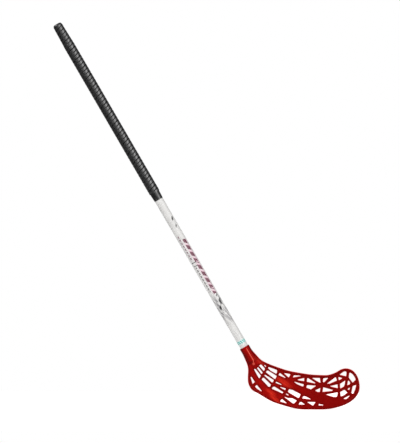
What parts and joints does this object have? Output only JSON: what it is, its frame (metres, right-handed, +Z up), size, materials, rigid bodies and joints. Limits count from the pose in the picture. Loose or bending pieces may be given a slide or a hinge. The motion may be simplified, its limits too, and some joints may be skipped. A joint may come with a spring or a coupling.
{
  "type": "floorball stick",
  "caption": "Floorball stick: straight tube with a wound ribbed grip and end plug, and a hooked, perforated plastic blade glued and screwed to its lower end.",
  "frame": {"origin": "on the axis of the shaft at the middle of the grip, where the hands hold it", "axes": "+Z up in the playing pose, +X from heel to toe of the blade, +Y away from the forehand side; the shaft leans about 60 degrees from the floor in the XZ plane"},
  "size_m": [0.748, 0.0403, 0.9465],
  "materials": {
    "shaft_tube": "white lacquered composite tube with a printed pattern",
    "butt_plug": "black moulded plastic",
    "grip_adhesive": "double-sided adhesive film",
    "grip_tape": "black ribbed foam grip tape",
    "grip_end_band": "glossy black vinyl tape",
    "label_band": "teal vinyl film",
    "blade": "red moulded polyethylene",
    "socket_glue": "hot-melt glue",
    "blade_screw": "zinc-plated steel"
  },
  "bodies": {
    "root": {"shaft_tube": "shaft_tube", "butt_plug": "butt_plug", "grip_adhesive": "grip_adhesive", "grip_tape": "grip_tape", "grip_end_band": "grip_end_band", "label_band": "label_band", "blade": "blade", "socket_glue": "socket_glue", "blade_screw": "blade_screw"}
  },
  "joints": []
}
